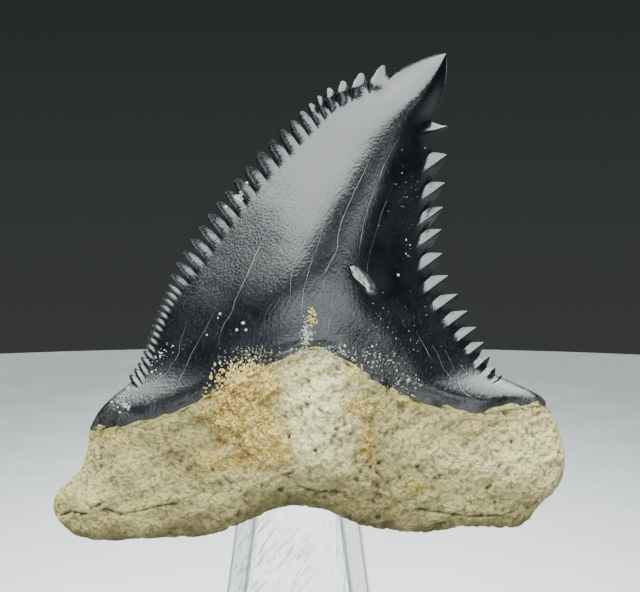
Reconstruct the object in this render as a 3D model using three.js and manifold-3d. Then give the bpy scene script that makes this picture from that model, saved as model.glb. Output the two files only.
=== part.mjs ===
// A fossil shark tooth standing on a clear acrylic post, in millimetres, +Z up.
// The origin is the middle of the post's foot, on the table, and the tooth's domed (lingual)
// face looks towards -Y. The tooth's own outlines are drawn from the top of the arch in its root.

import * as THREE from "three";
import { mergeVertices } from "three/addons/utils/BufferGeometryUtils.js";
import Module from "manifold-3d";

// The post
const ARCH_HEIGHT = 30;         // top of the root's arch above the table
const POST_HALF_AT_ARCH = 3.95; // half the post's width where it meets the root
const POST_TAPER = 0.135;       // what each side leans in for every millimetre of height
const POST_CHAMFER = 1.2;       // flat cut along the four upright corners
const POST_EDGE = 0.3;          // small bevel round the foot and the top
const BACKREST_TOP = 5.5;       // how far the back of the post rises above the arch
const SEAT_GAP = 0.15;          // clearance between the tooth and its seat
const TOOTH_FORWARD = 1.0;      // the tooth's cutting edges stand this far in front of the post's middle

// The tooth's outlines, seen from the front as [x, z] from the top of the arch
const ROOT_BASE = [
  [-16.1, -1.5], [-15.3, -2.2], [-13.4, -2.7], [-11.4, -2.6], [-9.0, -2.45], [-6.0, -2.25],
  [-4.5, -1.65], [-3.1, -0.95], [-1.75, -0.35], [0.15, 0.0], [1.5, -0.2], [2.85, -0.75],
  [4.2, -1.45], [6.6, -1.85], [8.8, -2.05], [11.0, -1.6], [14.4, -1.8], [15.7, -1.35],
];
const ROOT_LEFT = [
  [-16.1, -1.5], [-16.5, -1.0], [-16.6, -0.5], [-16.45, 0.1], [-16.05, 0.6], [-15.4, 1.1],
  [-14.85, 1.65], [-14.5, 2.45], [-14.3, 3.3], [-14.2, 4.4],
];
const ROOT_RIGHT = [
  [15.7, -1.35], [16.2, -0.6], [17.3, 0.4], [17.95, 1.2], [18.15, 2.65], [17.95, 3.7],
  [17.5, 5.0], [16.85, 6.05],
];
const NECK = [
  [-14.2, 4.4], [-12.0, 4.9], [-9.9, 5.4], [-7.9, 6.2], [-5.85, 7.4], [-3.85, 8.6],
  [-1.8, 9.8], [0.15, 10.75], [1.5, 10.9], [3.15, 10.0], [5.15, 8.6], [7.15, 7.5],
  [9.5, 6.6], [12.2, 5.95], [14.6, 6.1], [16.85, 6.05],
];
const MESIAL_EDGE = [
  [-14.2, 4.4], [-13.75, 5.3], [-13.2, 6.05], [-12.45, 6.75], [-11.6, 7.45], [-10.95, 8.1],
  [-10.3, 9.2], [-9.85, 10.55], [-8.85, 13.1], [-7.3, 15.85], [-5.1, 19.1], [-2.75, 22.0],
  [-0.5, 24.4], [1.75, 26.75], [3.15, 27.5], [4.65, 27.95], [6.05, 28.15], [6.65, 28.65],
  [7.2, 29.0], [8.2, 29.45], [9.2, 29.8], [9.95, 29.9],
];
const DISTAL_EDGE = [
  [16.85, 6.05], [16.8, 6.4], [16.1, 6.9], [14.25, 7.8], [13.5, 8.05], [12.8, 8.6],
  [11.7, 10.35], [10.35, 12.45], [9.6, 13.55], [9.05, 14.75], [8.7, 16.3], [8.7, 17.9],
  [8.9, 21.2], [9.0, 23.1], [8.9, 25.2], [9.25, 26.0], [9.6, 26.8], [9.85, 27.8],
  [10.0, 28.8], [9.95, 29.9],
];

// The serrations, from the tip of the tooth down each cutting edge: width of each cusplet
const MESIAL_WIDTHS = [
  1.5, 1.3, 1.0, 0.85, 0.7, 0.75, 0.85, 0.9, 0.95, 1.1, 1.2, 1.15, 1.05, 0.95, 0.95, 1.05,
  1.0, 1.0, 0.9, 0.9, 0.8, ...Array(15).fill(0.48),
];
const DISTAL_WIDTHS = [2.1, 2.0, 1.75, 1.45, 1.6, 1.6, 1.45, 1.35, 1.3, 1.2, 1.1, 0.9, 0.8, 0.5];
const MESIAL_START = 4.2;       // bare edge between the tip and the first cusplet
const DISTAL_START = 4.75;
const DISTAL_RISE = 33;         // degrees above level that the distal cusplets point

// Half thicknesses, from the plane of the cutting edges
const CROWN_DOME = 6.0;         // front of the crown near its foot, in the middle
const CROWN_BACK = 1.8;
const ROOT_FRONT = 3.3;         // front of the root's lobes
const ROOT_BULGE = 2.9;         // what the middle of the root adds to that
const ROOT_BACK = 2.0;
const ROOT_SHIFT = -2.2;        // the root's underside lies this far in front of the edges
const TIP_SHIFT = 1.2;          // the tip leans back
const RIDGE_SHIFT = 0.12;       // how far the crown's ridge swings to the right at the tip, as a share of its width
const LUMP_HEIGHT = 0.16;
const NECK_SHAPE = { power: 3.4, sharpness: 0.7 };  // how blunt the section is where root and crown meet

// The chip in the crown's front, as shares across and up the crown
const CHIP = { across: 0.66, up: 0.32, length: 2.2, width: 1.5, depth: 0.4 };

// How finely the tooth is faceted
const COLUMNS = 30;
const ROOT_ROWS = 10;
const CROWN_ROWS = 22;
const CUSPLET_SIDES = 6;

const wasm = await Module();
wasm.setup();

// Curves and small helpers

const lerp = THREE.MathUtils.lerp;
const smoothstep = THREE.MathUtils.smoothstep;

function curveThrough(points) {
  const curve = new THREE.SplineCurve(points.map(([x, z]) => new THREE.Vector2(x, z)));
  curve.arcLengthDivisions = 600;
  return curve;
}

const outline = {
  base: curveThrough(ROOT_BASE),
  left: curveThrough(ROOT_LEFT),
  right: curveThrough(ROOT_RIGHT),
  neck: curveThrough(NECK),
  mesial: curveThrough(MESIAL_EDGE),
  distal: curveThrough(DISTAL_EDGE),
};

// Joins rings of points into one closed body; each ring runs anticlockwise seen from the last ring.
function loft(rings) {
  const count = rings[0].length;
  const last = (rings.length - 1) * count;
  const triangles = [];
  for (let r = 0; r < rings.length - 1; r++) {
    for (let i = 0; i < count; i++) {
      const a = r * count + i;
      const b = r * count + (i + 1) % count;
      triangles.push([a, b, b + count], [a, b + count, a + count]);
    }
  }
  for (let i = 1; i < count - 1; i++) {
    triangles.push([0, i + 1, i], [last, last + i, last + i + 1]);
  }
  return closedGeometry(rings.flat(), triangles);
}

// Merges equal points and leaves out triangles that have shrunk to a line or cancel each other.
function closedGeometry(points, triangles) {
  let geometry = new THREE.BufferGeometry().setFromPoints(points);
  geometry.setIndex(triangles.flat());
  geometry = mergeVertices(geometry, 1e-4);
  const index = geometry.getIndex().array;
  const kept = new Map();
  for (let i = 0; i < index.length; i += 3) {
    const corners = [index[i], index[i + 1], index[i + 2]];
    if (new Set(corners).size < 3) continue;
    const key = corners.toSorted((p, q) => p - q).join();
    if (kept.has(key)) kept.delete(key);
    else kept.set(key, corners);
  }
  geometry.setIndex([...kept.values()].flat());
  return geometry;
}

function solidOf(geometry) {
  const vertProperties = new Float32Array(geometry.getAttribute("position").array);
  const triVerts = new Uint32Array(geometry.getIndex().array);
  return new wasm.Manifold(new wasm.Mesh({ numProp: 3, vertProperties, triVerts }));
}

function geometryOf(solid) {
  const { vertProperties, triVerts } = solid.getMesh();
  const geometry = new THREE.BufferGeometry();
  geometry.setAttribute("position", new THREE.BufferAttribute(vertProperties, 3));
  geometry.setIndex(new THREE.BufferAttribute(triVerts, 1));
  return geometry;
}

// The tooth's surface

// How far a curve between two ends rises above the straight line from end to end.
function sag(curve, u) {
  const ends = new THREE.Vector2().lerpVectors(curve.getPointAt(0), curve.getPointAt(1), u);
  return curve.getPointAt(u).sub(ends);
}

// A point of the root's outline plane: u across, s from the underside up to the neck.
function rootPoint(u, s) {
  const across = new THREE.Vector2().lerpVectors(outline.left.getPointAt(s), outline.right.getPointAt(s), u);
  return across.add(sag(outline.base, u).multiplyScalar(1 - s)).add(sag(outline.neck, u).multiplyScalar(s));
}

// A point of the crown's outline plane: u across, t from the neck up to the tip.
function crownPoint(u, t) {
  const left = outline.mesial.getPointAt(t);
  const right = outline.distal.getPointAt(t);
  const fade = (1 - t) ** 2.6;
  return new THREE.Vector2().lerpVectors(left, right, u).add(sag(outline.neck, u).multiplyScalar(fade));
}

// A pillow section: 1 in the middle, 0 at both edges; a low sharpness gives a blunt edge.
function pillow(u, power, sharpness) {
  return Math.max(0, 1 - Math.abs(2 * u - 1) ** power) ** sharpness;
}

// Soft uneven lumps of a few millimetres on the root.
function lumps(x, z) {
  const coarse = Math.sin(1.3 * x + 0.8 * z + 0.4) * Math.cos(1.1 * z - 0.5 * x);
  const fine = Math.sin(2.9 * x - 1.7 * z) * Math.sin(2.3 * z + 1.1 * x + 1.2);
  return LUMP_HEIGHT * (coarse + 0.7 * fine);
}

// How far the root's front stands out: two lobes with a bulge between them.
function rootFront(u, s) {
  const bulge = Math.exp(-(((u - 0.5) / 0.19) ** 2)) * (0.7 + 0.3 * Math.sin(Math.PI * s));
  return ROOT_FRONT + ROOT_BULGE * bulge;
}

function rootSection(u, s) {
  const underside = (1 - (1 - s) ** 3.5) ** (1 / 3.5);
  const across = pillow(u, lerp(5, NECK_SHAPE.power, s * s), lerp(0.5, NECK_SHAPE.sharpness, s * s));
  return {
    front: rootFront(u, s) * underside * across,
    back: ROOT_BACK * underside * across,
    middle: ROOT_SHIFT * (1 - s) ** 1.5,
  };
}

// The crown starts as thick and blunt as the root and soon sharpens into a blade.
function crownSection(u, t) {
  const blade = smoothstep(t, 0, 0.45);
  const dome = lerp(rootFront(u, 1), CROWN_DOME, blade) * (1 - t ** 1.3) ** 0.8;
  const plate = lerp(ROOT_BACK, CROWN_BACK, blade) * (1 - t) ** 0.85;
  const ridge = u - RIDGE_SHIFT * t * 4 * u * (1 - u);
  const power = lerp(NECK_SHAPE.power, 2, blade);
  return {
    front: dome * pillow(ridge, power, lerp(NECK_SHAPE.sharpness, 1.4, blade)),
    back: plate * pillow(u, power, lerp(NECK_SHAPE.sharpness, 0.9, blade)),
    middle: TIP_SHIFT * t * t,
  };
}

function ringAt(point, section, lumpy) {
  const front = [];
  const back = [];
  for (let i = 0; i <= COLUMNS; i++) {
    const even = i / COLUMNS;
    const u = lerp(even, (1 - Math.cos(Math.PI * even)) / 2, 0.6);
    const { x, y: z } = point(u);
    const depth = section(u);
    const inside = Math.min(1, depth.front) * lumpy;
    front.push(new THREE.Vector3(x, depth.middle - depth.front - inside * lumps(x, z), z));
    back.push(new THREE.Vector3(x, depth.middle + depth.back + inside * 0.5 * lumps(-x, z), z));
  }
  return [...front, ...back.slice(1, -1).reverse()];
}

function toothBody() {
  const rings = [];
  for (let j = 0; j < ROOT_ROWS; j++) {
    const s = (j / ROOT_ROWS) ** 1.4;
    rings.push(ringAt((u) => rootPoint(u, s), (u) => rootSection(u, s), 1));
  }
  for (let j = 0; j <= CROWN_ROWS; j++) {
    const t = j / CROWN_ROWS;
    rings.push(ringAt((u) => crownPoint(u, t), (u) => crownSection(u, t), 1 - smoothstep(t, 0, 0.1)));
  }
  return loft(rings);
}

// The serrations

// How a cusplet narrows from its root, a little inside the edge, to its point
const FINGER = [
  { out: -0.9, wide: 0.32, thick: 0.7 },
  { out: 0, wide: 0.49, thick: 1.0 },
  { out: 0.6, wide: 0.38, thick: 0.8 },
  { out: 0.9, wide: 0.2, thick: 0.45 },
  { out: 1, wide: 0, thick: 0 },
];
const SAW_TOOTH = [
  { out: -0.9, wide: 0.32, thick: 0.7 },
  { out: 0, wide: 0.49, thick: 1.0 },
  { out: 0.55, wide: 0.29, thick: 0.65 },
  { out: 1, wide: 0, thick: 0 },
];

// One cusplet: a flattened horn that stands on the cutting edge.
function cusplet({ foot, outward, along, width, length, hook, thickness, stations }) {
  const depthwise = new THREE.Vector3().crossVectors(outward, along).normalize();
  const rings = stations.map(({ out, wide, thick }) => {
    const lean = Math.sign(out) * (0.5 - wide) * hook * width;
    const centre = foot.clone().addScaledVector(outward, out * length).addScaledVector(along, lean);
    return Array.from({ length: CUSPLET_SIDES }, (_, i) => {
      const angle = (2 * Math.PI * i) / CUSPLET_SIDES;
      return centre.clone()
        .addScaledVector(along, Math.cos(angle) * wide * width)
        .addScaledVector(depthwise, Math.sin(angle) * thick * thickness);
    });
  });
  return loft(rings);
}

// Sets a row of cusplets along a cutting edge, from the tip downwards.
function serrate(edge, start, widths, shapeOf) {
  const edgeLength = edge.getLength();
  let distance = start;
  return widths.map((width, i) => {
    const t = 1 - (distance + width / 2) / edgeLength;
    distance += width;
    const { x, y: z } = edge.getPointAt(t);
    const tangent = edge.getTangentAt(t);
    const along = new THREE.Vector3(tangent.x, 0, tangent.y);
    return cusplet({ foot: new THREE.Vector3(x, TIP_SHIFT * t * t, z), along, width, ...shapeOf(i, along) });
  });
}

// Hooked next to the tip, then fingers, then small beads near the foot of the crown.
// A hook of 0 points straight out, and 1 has its point level with its upper notch.
function mesialShape(i, along) {
  const finger = 0.5 + 0.55 * Math.exp(-i / 1.3) + 0.3 * smoothstep(i, 4, 9);
  const bead = smoothstep(i, 18, 23);
  return {
    outward: new THREE.Vector3(-along.z, 0, along.x),
    length: finger * lerp(1, 0.5, bead),
    hook: 0.5 + 0.6 * Math.exp(-1.2 * i),
    thickness: lerp(0.38, 0.28, bead),
    stations: FINGER,
  };
}

// Saw teeth that all point the same way and get smaller towards the foot of the crown.
function distalShape(i) {
  const down = i / (DISTAL_WIDTHS.length - 1);
  const rise = THREE.MathUtils.degToRad(DISTAL_RISE);
  return {
    outward: new THREE.Vector3(Math.cos(rise), 0, Math.sin(rise)),
    length: lerp(1.3, 0.3, down ** 2.6),
    hook: i === 0 ? 0.45 : 0.15,
    thickness: lerp(0.5, 0.3, down),
    stations: SAW_TOOTH,
  };
}

// A shallow flake is missing from the front of the crown.
function chipCutter() {
  const { x, y: z } = crownPoint(CHIP.across, CHIP.up);
  const depth = crownSection(CHIP.across, CHIP.up);
  const cutter = new THREE.OctahedronGeometry(1);
  cutter.scale(CHIP.width / 2, CHIP.depth, CHIP.length / 2);
  cutter.rotateY(THREE.MathUtils.degToRad(-25));
  cutter.translate(x, depth.middle - depth.front, z);
  cutter.deleteAttribute("normal");
  cutter.deleteAttribute("uv");
  return mergeVertices(cutter, 1e-4);
}

function toothGeometry() {
  let tooth = solidOf(toothBody());
  const cusplets = [
    ...serrate(outline.mesial, MESIAL_START, MESIAL_WIDTHS, mesialShape),
    ...serrate(outline.distal, DISTAL_START, DISTAL_WIDTHS, distalShape),
  ];
  for (const geometry of cusplets) tooth = tooth.add(solidOf(geometry));
  tooth = tooth.subtract(solidOf(chipCutter()));
  return geometryOf(tooth);
}

// The stand

// The post's outline at one height above the arch: a square with its corners cut off.
function postRing(z, inset) {
  const half = POST_HALF_AT_ARCH - POST_TAPER * z - inset;
  const flat = half - POST_CHAMFER;
  const corners = [
    [flat, -half], [half, -flat], [half, flat], [flat, half],
    [-flat, half], [-half, flat], [-half, -flat], [-flat, -half],
  ];
  return corners.map(([x, y]) => new THREE.Vector3(x, y, z));
}

function postBlank() {
  return loft([
    postRing(-ARCH_HEIGHT, POST_EDGE),
    postRing(-ARCH_HEIGHT + POST_EDGE, 0),
    postRing(BACKREST_TOP - POST_EDGE, 0),
    postRing(BACKREST_TOP, POST_EDGE),
  ]);
}

// What is cut away for the tooth: everything above the arch, in front of the backrest.
function seatCutter() {
  const reach = POST_HALF_AT_ARCH * 1.6;
  const top = BACKREST_TOP * 1.5;
  const arch = outline.base.getPoints(120).filter((point) => Math.abs(point.x) < reach);
  const shape = new THREE.Shape([
    ...arch.map((point) => new THREE.Vector2(point.x, point.y - SEAT_GAP)),
    new THREE.Vector2(reach, top),
    new THREE.Vector2(-reach, top),
  ]);
  const backrest = ROOT_BACK + 2 * SEAT_GAP - TOOTH_FORWARD;
  const cutter = new THREE.ExtrudeGeometry(shape, { depth: backrest + 2 * reach, bevelEnabled: false });
  cutter.rotateX(Math.PI / 2);
  cutter.translate(0, backrest, 0);
  cutter.deleteAttribute("normal");
  cutter.deleteAttribute("uv");
  return mergeVertices(cutter, 1e-4);
}

function standGeometry() {
  return geometryOf(solidOf(postBlank()).subtract(solidOf(seatCutter())));
}

// The finished object

function part(name, geometry, colour, roughness, forward) {
  const material = new THREE.MeshStandardMaterial({ color: colour, roughness, metalness: 0 });
  const mesh = new THREE.Mesh(geometry, material);
  mesh.name = name;
  mesh.position.set(0, -forward, ARCH_HEIGHT);
  return mesh;
}

const model = new THREE.Group();
model.add(part("tooth", toothGeometry(), 0x3a4048, 0.35, TOOTH_FORWARD));
model.add(part("stand", standGeometry(), 0xdfe5e4, 0.08, 0));

export default model;
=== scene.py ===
"""Dresses a fossil shark tooth on its clear acrylic post: enamel, root, cracks and sediment."""

import math

import bmesh
import bpy
import numpy as np
from mathutils import Euler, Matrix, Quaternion, Vector
from mathutils.bvhtree import BVHTree


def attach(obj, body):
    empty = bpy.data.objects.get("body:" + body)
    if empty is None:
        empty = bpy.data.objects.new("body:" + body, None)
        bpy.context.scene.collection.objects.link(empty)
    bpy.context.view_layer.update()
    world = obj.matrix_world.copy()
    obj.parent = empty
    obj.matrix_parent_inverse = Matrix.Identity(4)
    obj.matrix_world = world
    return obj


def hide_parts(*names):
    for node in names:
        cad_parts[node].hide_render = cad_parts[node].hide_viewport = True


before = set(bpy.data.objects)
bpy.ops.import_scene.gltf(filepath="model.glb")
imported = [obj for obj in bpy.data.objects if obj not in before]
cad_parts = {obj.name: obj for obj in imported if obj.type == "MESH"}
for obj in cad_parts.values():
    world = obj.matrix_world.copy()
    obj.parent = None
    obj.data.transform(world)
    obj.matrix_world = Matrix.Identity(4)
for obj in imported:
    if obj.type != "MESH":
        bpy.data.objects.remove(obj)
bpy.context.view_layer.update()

MM = 0.001

# Where the tooth sits in the frame, in millimetres. Its outlines start at the top of the root's arch.
ARCH_HEIGHT = 30.0
TOOTH_FORWARD = 1.0
TOOTH_AT = (0, -TOOTH_FORWARD, ARCH_HEIGHT)

# The photograph's camera: it looks down on the tooth by a few degrees through a long lens
PHOTO_WIDTH, PHOTO_HEIGHT = 640, 592
PIXELS_PER_MM = 14.8
CAMERA_DISTANCE = 200.0
CAMERA_DOWN = math.radians(10.0)
CAMERA_TARGET = (1.49, -1.0, ARCH_HEIGHT + 13.59)
SENSOR_WIDTH = 36.0
BACKDROP_LOW = (0.042, 0.047, 0.043, 1)
BACKDROP_HIGH = (0.016, 0.021, 0.021, 1)
FLOOR_RADIUS = 0.205  # in metres: a round table top
# The floor's colour holds a painted pool of light, palest near the stand and painted darker towards the rim
LIT_POOL_REACH = 40.0  # in millimetres: it is palest this near the stand
LIT_POOL_NARROW = 2.1  # and that part is this much narrower than it is deep

# The tooth's outlines, seen from the front as (x, z) from the top of the arch
ROOT_BASE = [
    (-16.1, -1.5), (-15.3, -2.2), (-13.4, -2.7), (-11.4, -2.6), (-9.0, -2.45), (-6.0, -2.25),
    (-4.5, -1.65), (-3.1, -0.95), (-1.75, -0.35), (0.15, 0.0), (1.5, -0.2), (2.85, -0.75),
    (4.2, -1.45), (6.6, -1.85), (8.8, -2.05), (11.0, -1.6), (14.4, -1.8), (15.7, -1.35),
]
ROOT_LEFT = [
    (-16.1, -1.5), (-16.5, -1.0), (-16.6, -0.5), (-16.45, 0.1), (-16.05, 0.6), (-15.4, 1.1),
    (-14.85, 1.65), (-14.5, 2.45), (-14.3, 3.3), (-14.2, 4.4),
]
ROOT_RIGHT = [
    (15.7, -1.35), (16.2, -0.6), (17.3, 0.4), (17.95, 1.2), (18.15, 2.65), (17.95, 3.7),
    (17.5, 5.0), (16.85, 6.05),
]
NECK = [
    (-14.2, 4.4), (-12.0, 4.9), (-9.9, 5.4), (-7.9, 6.2), (-5.85, 7.4), (-3.85, 8.6),
    (-1.8, 9.8), (0.15, 10.75), (1.5, 10.9), (3.15, 10.0), (5.15, 8.6), (7.15, 7.5),
    (9.5, 6.6), (12.2, 5.95), (14.6, 6.1), (16.85, 6.05),
]
MESIAL_EDGE = [
    (-14.2, 4.4), (-13.75, 5.3), (-13.2, 6.05), (-12.45, 6.75), (-11.6, 7.45), (-10.95, 8.1),
    (-10.3, 9.2), (-9.85, 10.55), (-8.85, 13.1), (-7.3, 15.85), (-5.1, 19.1), (-2.75, 22.0),
    (-0.5, 24.4), (1.75, 26.75), (3.15, 27.5), (4.65, 27.95), (6.05, 28.15), (6.65, 28.65),
    (7.2, 29.0), (8.2, 29.45), (9.2, 29.8), (9.95, 29.9),
]
DISTAL_EDGE = [
    (16.85, 6.05), (16.8, 6.4), (16.1, 6.9), (14.25, 7.8), (13.5, 8.05), (12.8, 8.6),
    (11.7, 10.35), (10.35, 12.45), (9.6, 13.55), (9.05, 14.75), (8.7, 16.3), (8.7, 17.9),
    (8.9, 21.2), (9.0, 23.1), (8.9, 25.2), (9.25, 26.0), (9.6, 26.8), (9.85, 27.8),
    (10.0, 28.8), (9.95, 29.9),
]

# The serrations, from the tip down each cutting edge: width of each cusplet
MESIAL_WIDTHS = [
    1.5, 1.3, 1.0, 0.85, 0.7, 0.75, 0.85, 0.9, 0.95, 1.1, 1.2, 1.15, 1.05, 0.95, 0.95, 1.05,
    1.0, 1.0, 0.9, 0.9, 0.8,
] + 15 * [0.48]
DISTAL_WIDTHS = [2.1, 2.0, 1.75, 1.45, 1.6, 1.6, 1.45, 1.35, 1.3, 1.2, 1.1, 0.9, 0.8, 0.5]
MESIAL_START = 4.2
DISTAL_START = 4.75

# Half thicknesses, from the plane of the cutting edges
CROWN_DOME = 6.0
CROWN_BACK = 1.8
ROOT_FRONT = 3.3
ROOT_BULGE = 2.75
ROOT_BACK = 2.0
ROOT_SHIFT = -2.2
TIP_SHIFT = 1.2
RIDGE_SHIFT = 0.12
NECK_POWER, NECK_SHARPNESS = 3.4, 0.7
NECK_FADE = 2.6  # how fast the crown's rows lose the neck's curve on the way up
LUMP_HEIGHT = 0.16

# The cusplets: fingers along the mesial edge, saw teeth along the distal one
MESIAL_BAND, DISTAL_BAND = 1.15, 1.2  # how far in from the notches the ridges reach
CUSPLET_ROUND = 0.2  # how soon a ridge rises from a cusplet's end
FINGER_BLUNT, SAW_BLUNT = 0.85, 0.95  # under 1, it rises roundly there
FINGER_LEAN = math.tan(math.radians(11))  # how far the mesial cusplets lean towards the tip
SAW_RISE = math.radians(33)  # which way the distal cusplets point, above level
MESIAL_FOOT = 0.12  # up to this share of the mesial edge, its band doesn't lean
SOFT_START, SOFT_AXIS = 200, 80  # rounds of smoothing of where a band leans, and which way

# The chip in the crown's front: the middle, half sizes, lean and depth of its hollow, and how far the
# plate that lines it stands out, how deep its grooves are and how far its back is sunk
CHIP_AT = (4.25, 15.35)
CHIP_HALF = (0.42, 1.15)
CHIP_LEAN = math.radians(36)
CHIP_DEPTH = 0.3
SCAR_RAISED, SCAR_GROOVE, SCAR_SUNK = 0.03, 0.025, 0.1

# The post: half its width at its foot, how much that shrinks with each millimetre up, the width of its
# cut corners, and the middle and reach of the scuffs on its front
POST_HALF_AT_FOOT = 8.0
POST_TAPER = 0.135
POST_CHAMFER = 1.2
SCUFFS_AT, SCUFFS_REACH = (-2.0, -5.0, 26.0), 4.5

# The meshes' fineness. Rows cross a cusplet at shares of its width, from its lower notch to its upper one.
FINGER_PLACES = np.array([0, 0.05, 0.1, 0.16, 0.25, 0.37, 0.5, 0.63, 0.75, 0.86, 0.95, 0.99])
SAW_PLACES = np.concatenate([np.linspace(0, 0.55, 10, endpoint=False), np.linspace(0.55, 0.995, 12)])
MESIAL_COLUMNS, MIDDLE_COLUMNS, DISTAL_COLUMNS = 14, 50, 22
FOOT_ROWS = 42  # rows on the bare mesial edge below the cusplets
TIP_ROWS = 60  # and on the bare edges at the tip
ROOT_COLUMNS, ROOT_ROWS = 340, 108
SCAR_COLUMNS, SCAR_ROWS = 10, 30
SHARP_ANGLE = math.radians(80)
SAME_POINT = 1e-7  # in metres: points closer than this are merged

# The crown goes on inside the root and the root inside the crown, each by a share of the other's height,
# and narrower than the neck
CROWN_TUCK, ROOT_TUCK = 0.06, 0.035
TUCK_ROWS = 5
TUCK_INSET = 0.97

# Cracks and specks look wider in the photograph than they are, so they are made at these shares of that
CRACK_SHARE = 0.36
SPECK_SHARE = 0.6
PATCH_SPREAD = 1.9  # a patch's half sizes, in standard deviations of its grains' places

SEED = 11

# Pixels of the photograph: cracks in the enamel, as half width in millimetres and points along each
CRACK_STEP = 1.6  # pixels between the rings of a filling
CRACKS = [
    (0.045, [(268, 229), (251, 266), (240, 292)]),
    (0.045, [(296, 212), (290, 226), (277, 258)]),
    (0.040, [(323.5, 195.5), (311, 226), (305, 241), (295, 259), (291, 282), (290, 305)]),
    (0.050, [(331, 204), (316.5, 248), (309.5, 269.5), (303, 294), (301, 323), (299, 346)]),
    (0.060, [(372, 155), (364, 171), (348, 206), (338, 234), (337, 249), (327, 269.5), (323, 285),
             (318, 305)]),
    (0.060, [(400, 136), (382, 171), (368, 208), (362, 234), (358, 259)]),
    (0.030, [(392, 187), (378, 225), (368, 263), (369, 280)]),
    (0.030, [(333, 278), (331, 308), (328, 329), (325.5, 349)]),
    (0.045, [(217, 304), (207, 327), (195, 347), (185, 369), (181, 376), (178, 386), (171, 398)]),
    (0.045, [(250, 270), (239, 292), (230, 315), (224, 324), (218, 342)]),
    (0.045, [(187, 321), (180.5, 341), (178.6, 354), (171.7, 364.5), (167, 373), (159, 378),
             (149, 389), (141, 401)]),
    (0.035, [(164, 383), (156.7, 391.6), (149.7, 401), (144, 407)]),
    (0.040, [(131, 392), (122, 399)]),
    (0.040, [(113, 405), (100, 418)]),
    (0.035, [(417, 333), (425, 348), (433, 362)]),
    (0.035, [(431.5, 344), (438, 356), (444, 369), (453, 381)]),
    (0.035, [(444, 349), (457.6, 375)]),
    (0.040, [(459, 364), (472, 378)]),
    (0.040, [(484, 385), (501, 391), (512, 396.5)]),
    (0.040, [(458, 381), (464, 392), (480, 403)]),
]

# Single white grains on the enamel, as pixels and radius in millimetres
WHITE_SPECKS = [
    (425, 148, 0.08), (402, 150, 0.06), (402, 173, 0.07), (396, 184, 0.06), (407, 197, 0.08),
    (406, 240, 0.14), (410, 245, 0.10), (406, 254, 0.12), (408, 256, 0.10), (398, 275, 0.16),
    (247, 183, 0.18), (226, 207, 0.16), (220, 314, 0.16), (218, 318, 0.12), (207, 335, 0.12),
    (243, 323, 0.20), (237, 330, 0.16), (246, 330, 0.14), (220, 363, 0.16), (231, 361, 0.12),
    (173, 346, 0.12), (162, 353, 0.12), (160, 356, 0.12), (155, 357, 0.12), (152, 372, 0.14),
    (156, 370, 0.10), (128, 388, 0.12), (121, 396, 0.14), (112, 402, 0.14),
]

# Oval patches of grains: middle, half sizes, count, range of radii in millimetres and range of tints
CRUST_PATCHES = [
    (248, 378, 26, 14, 900, (0.06, 0.17), (0.3, 1.0)),
    (238, 408, 26, 26, 1300, (0.05, 0.16), (0.0, 0.8)),
    (262, 440, 26, 26, 900, (0.04, 0.13), (0.2, 0.9)),
    (215, 462, 22, 12, 260, (0.04, 0.11), (0.2, 0.8)),
    (362, 407, 16, 9, 300, (0.04, 0.12), (0.1, 0.8)),
    (367, 445, 10, 16, 240, (0.04, 0.10), (0.1, 0.7)),
    (405, 400, 8, 5, 90, (0.04, 0.12), (0.3, 0.9)),
    (480, 430, 14, 6, 90, (0.04, 0.09), (0.3, 0.9)),
    (420, 485, 14, 7, 90, (0.04, 0.09), (0.3, 0.9)),
    (110, 437, 16, 4, 90, (0.04, 0.09), (0.3, 0.9)),
    (352, 372, 7, 8, 110, (0.05, 0.14), (0.3, 0.9)),
    (313, 318, 4, 8, 60, (0.04, 0.12), (0.4, 0.9)),
]
SPECK_PATCHES = [
    (239, 197, 4, 4, 40, (0.06, 0.15), (0.6, 1.0)),
    (307, 335, 6, 16, 150, (0.03, 0.09), (0.5, 1.0)),
    (252, 356, 22, 9, 120, (0.04, 0.12), (0.0, 0.5)),
    (320, 352, 30, 7, 160, (0.03, 0.10), (0.3, 0.9)),
    (368, 362, 24, 16, 120, (0.03, 0.09), (0.3, 0.9)),
    (405, 385, 20, 10, 60, (0.03, 0.08), (0.3, 0.9)),
    (222, 358, 14, 14, 20, (0.03, 0.09), (0.4, 0.9)),
    (124, 405, 8, 7, 60, (0.03, 0.09), (0.4, 1.0)),
    (160, 355, 10, 14, 30, (0.03, 0.08), (0.5, 1.0)),
    (410, 210, 20, 60, 60, (0.02, 0.04), (0.4, 0.9)),
    (400, 330, 45, 40, 90, (0.02, 0.05), (0.4, 0.9)),
]

# Both sides of the pale flake scar in the chip
SCAR_LEFT = [(349.5, 266), (352, 274), (356, 279), (360, 283), (365, 287), (367.6, 292)]
SCAR_RIGHT = [(353, 265.5), (360, 270), (365, 277), (368.4, 282), (370, 286), (369, 292)]

# The root's cracks and crevices, and its dark pits with their half sizes
ROOT_CRACKS = [
    [(60, 515), (70, 511), (85, 515)], [(90, 508), (100, 503)],
    [(105, 509), (120, 514), (140, 511), (160, 506), (175, 505)],
    [(415, 510), (440, 513), (470, 517), (500, 516)], [(295, 487), (318, 492), (345, 493)],
]
ROOT_PITS = [(219, 441, 2.5, 2.5), (380, 518, 4, 3), (192, 488, 2.5, 2), (268, 400, 2, 2), (213, 470, 2, 2)]
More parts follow.
